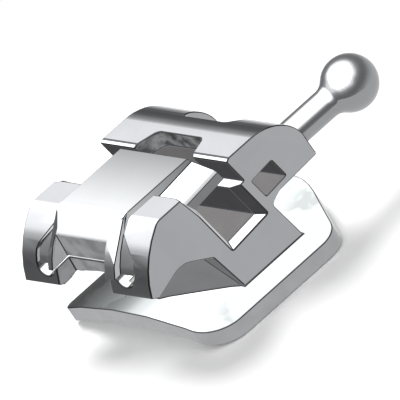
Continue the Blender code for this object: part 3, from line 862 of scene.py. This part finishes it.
def growSeam():
    shape = bmesh.new()
    shape.from_mesh(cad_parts["bracket_body"].data)
    bmesh.ops.remove_doubles(shape, verts=shape.verts, dist=seam["merge"] * mm)
    foot = {f for f in shape.faces if all(abs(abovePad(v.co)) < seam["within"] for v in f.verts)}
    rim = [e for e in shape.edges if sum(f in foot for f in e.link_faces) == 1]
    corners = sorted({v for e in rim for v in e.verts}, key=lambda v: v.index)
    number = {v: i for i, v in enumerate(corners)}
    route = bpy.data.meshes.new("footSeam")
    route.from_pydata([v.co.copy() for v in corners], [[number[v] for v in e.verts] for e in rim], [])
    shape.free()
    print("foot of", len(foot), "faces,", len(rim), "edges round it")
    return sweptWire("footSeam", route, seam)


pieces["padStuds"] = growStuds()
pieces["gateSpring"] = growWire()
pieces["footSeam"] = growSeam()
print("studs, wire and braze line grown")


# Inside the slot, the hole and the notch, and round the stem, the casting takes painted shade: darker
# colours in place of the shade that falls there.
# Each hollow reaches to a on both sides and over its ranges of y and z, in slot-frame millimetres.
hollows = {
    "slot": {
        "a": 1.42, "y": (-0.30, 0.30), "z": (0.08, 0.83),
        "floor": "paintedShadeFloor", "wall": "paintedShadeWall",
    },
    "slotFlare": {
        "a": 1.42, "y": (0.27, 0.38), "z": (-0.01, 0.80),
        "floor": "castSteel", "wall": "paintedShadeWall",
    },
    "auxiliaryHole": {
        "a": 1.50, "y": (0.50, 0.96), "z": (0.22, 0.69),
        "floor": "paintedShadeFloor", "wall": "paintedShadeWall",
    },
    "stem": {
        "a": 1.42, "y": (-1.42, -0.28), "z": (-1.00, 0.62),
        "floor": "stemPaintedShade", "wall": "stemPaintedShade",
    },
    "toolNotch": {
        "a": 0.70, "y": (0.26, 0.92), "z": (0.93, 1.40),
        "floor": "paintedShadeFloor", "wall": "pocketPaintedShade",
    },
    "gateRecess": {
        "a": 1.42, "y": (0.44, 0.46), "z": (0.75, 1.26),
        "floor": "paintedShadeWall", "wall": "paintedShadeWall",
    },
    "lipRecess": {
        "a": 0.66, "y": (-1.80, -1.20), "z": (0.44, 0.90),
        "floor": "recessPaintedShade", "wall": "recessPaintedShade",
    },
    "channel": {
        "a": 1.10, "y": (-1.80, -0.30), "z": (0.84, 1.30),
        "floor": "castSteel", "wall": "paintedShadeWall",
    },
}
sideMargin = 0.01  # how near the side faces lie to half the body's width


def inSlotFrame(point):  # metres in the part to slot-frame a, y and z in millimetres
    t = bracket["torque"]
    offset = (point - slotOrigin) / mm
    y = slotY(offset.y, offset.z)
    z = cos(t) * offset.z - sin(t) * offset.y
    return offset.x - tan(bracket["angulation"]) * y, y, z


def bareFaces(piece):  # the faces that still have the main finish, with their corners
    places = [inSlotFrame(vertex.co) for vertex in piece.data.vertices]
    for face in piece.data.polygons:
        if face.material_index == 0:
            yield face, [places[i] for i in face.vertices]


def within(corners, half, yRange, zRange):
    return all(
        abs(a) < half and yRange[0] < y < yRange[1] and zRange[0] < z < zRange[1]
        for a, y, z in corners
    )


def paintFace(piece, face, metal):  # one of the metals that the piece carries
    face.material_index = piece.data.materials.keys().index(metal)


def paintShadeInHollows(piece):
    sideFrom = bracket["halfWidth"] - sideMargin
    for face, corners in bareFaces(piece):
        if min(abs(a) for a, y, z in corners) > sideFrom:  # the plain side faces
            continue
        for hollow in hollows.values():
            if within(corners, hollow["a"], hollow["y"], hollow["z"]):
                paintFace(piece, face, hollow["floor" if face.normal.z > mostly else "wall"])


gateAreas = {  # in slot-frame millimetres
    "recess": {"a": 0.66, "y": (-1.80, -1.20), "z": (0.70, 1.30)},  # in the panel's end
    "railsFrom": 0.96,
}


def paintGateShade(piece):  # only the gate's raised panel keeps its painted shade ramp; the recess in its end and its rails take painted shade
    recess = gateAreas["recess"]
    for face, corners in bareFaces(piece):
        if within(corners, recess["a"], recess["y"], recess["z"]):
            paintFace(piece, face, "sidePaintedShade" if abs(face.normal.x) > mostly else "recessPaintedShade")
        elif min(abs(a) for a, y, z in corners) > gateAreas["railsFrom"]:
            paintFace(piece, face, "stemPaintedShade")
        elif abs(inSlotFrame(face.center)[0]) > bracket["panelHalf"]:
            paintFace(piece, face, "gateFlank")


rimTilt = 0.3  # the pad's cut edge turns up less than this


def paintRimShade(piece):
    for face in piece.data.polygons:
        if face.material_index == 0 and abs(face.normal.z) < rimTilt:
            paintFace(piece, face, "sidePaintedShade")


paintShadeInHollows(pieces["bodyCasting"])
paintGateShade(pieces["slidingGate"])
paintRimShade(pieces["bondingPad"])
print("inner faces finished")


# The white table and the light tent.

studio = {
    "floorRadius": 8.0,
    "floorSides": 96,
    "floorColour": (0.95, 0.95, 0.95),
    "floorRoughness": 0.9,
    "floorMirrored": 1.0,  # level at which polished steel mirrors the table
    "skyLean": (-0.05, -0.22, 0.974),  # the bright part of the tent leans over the wings
    "tentLevel": 4.6,
    "tent": [  # from the side away from the bright part to the bright part itself
        (0.0, 0.226),
        (0.30, 0.170),
        (0.45, 0.051),
        (0.55, 0.040),
        (0.62, 0.056),
        (0.70, 0.147),
        (0.735, 0.271),
        (0.757, 0.508),
        (0.79, 0.565),
        (0.81, 1.0),
    ],
    "plainLevel": 0.76,  # light on the dull surfaces and the table
    "backdropLevel": 1.0,  # what the camera sees behind the table
    "lampAt": (-15.0, 9.0, 40.0),
    "lampSize": 18.0,
    "lampPower": 0.0140,
}


def makeFloor():
    radius = studio["floorRadius"] * mm
    turns = [2 * pi * i / studio["floorSides"] for i in range(studio["floorSides"])]
    mesh = bpy.data.meshes.new("studioFloor")
    mesh.from_pydata([(radius * cos(t), radius * sin(t), 0) for t in turns], [], [range(len(turns))])
    floor = bpy.data.objects.new("studioFloor", mesh)
    scene.collection.objects.link(floor)
    material = bpy.data.materials.new("whitePaper")
    material.use_nodes = True
    shader = material.node_tree.nodes["Principled BSDF"]
    shader.inputs["Base Color"].default_value = (*studio["floorColour"], 1)
    shader.inputs["Roughness"].default_value = studio["floorRoughness"]
    shader.inputs["Specular IOR Level"].default_value = 0
    nodes = Nodes(material.node_tree)
    ray = nodes.add("ShaderNodeLightPath")
    paper = nodes.add("ShaderNodeEmission")
    paper.inputs["Strength"].default_value = studio["floorMirrored"]
    choice = nodes.add("ShaderNodeMixShader")
    nodes.join(ray.outputs["Is Glossy Ray"], choice.inputs[0])
    nodes.join(shader.outputs[0], choice.inputs[1])
    nodes.join(paper.outputs[0], choice.inputs[2])
    nodes.join(choice.outputs[0], material.node_tree.nodes["Material Output"].inputs["Surface"])
    mesh.materials.append(material)


def makeWorld():
    world = bpy.data.worlds.new("lightTent")
    scene.world = world
    world.use_nodes = True
    nodes = Nodes(world.node_tree)
    background = world.node_tree.nodes["Background"]
    direction = nodes.add("ShaderNodeTexCoord").outputs["Generated"]
    lean = nodes.add("ShaderNodeVectorMath", operation="DOT_PRODUCT")
    lean.inputs[1].default_value = studio["skyLean"]
    nodes.join(direction, lean.inputs[0])
    share = nodes.add("ShaderNodeMapRange")
    share.inputs["From Min"].default_value = -1
    share.inputs["From Max"].default_value = 1
    nodes.join(lean.outputs["Value"], share.inputs["Value"])
    tent = nodes.ramp(share.outputs[0], studio["tent"])
    bright = nodes.add("ShaderNodeVectorMath", operation="SCALE")
    bright.inputs["Scale"].default_value = studio["tentLevel"]
    nodes.join(tent, bright.inputs[0])
    plain = studio["plainLevel"]
    white = studio["backdropLevel"]
    ray = nodes.add("ShaderNodeLightPath")
    mirrored = nodes.add("ShaderNodeMix", data_type="RGBA")
    nodes.join(ray.outputs["Is Glossy Ray"], mirrored.inputs["Factor"])
    mirrored.inputs["A"].default_value = (plain, plain, plain, 1)
    nodes.join(bright.outputs[0], mirrored.inputs["B"])
    seen = nodes.add("ShaderNodeMix", data_type="RGBA")
    nodes.join(ray.outputs["Is Camera Ray"], seen.inputs["Factor"])
    nodes.join(mirrored.outputs["Result"], seen.inputs["A"])
    seen.inputs["B"].default_value = (white, white, white, 1)
    nodes.join(seen.outputs["Result"], background.inputs["Color"])


def makeLamp():  # a soft lamp up on the left, which throws the short shadow
    data = bpy.data.lights.new("windowLamp", "AREA")
    data.shape = "DISK"
    data.size = studio["lampSize"] * mm
    data.energy = studio["lampPower"]
    lamp = bpy.data.objects.new("windowLamp", data)
    lamp.location = Vector(studio["lampAt"]) * mm
    lamp.rotation_mode = "QUATERNION"
    lamp.rotation_quaternion = (-lamp.location).to_track_quat("-Z", "Y")
    lamp.visible_glossy = False
    scene.collection.objects.link(lamp)


makeFloor()
makeWorld()
makeLamp()
print("studio ready")
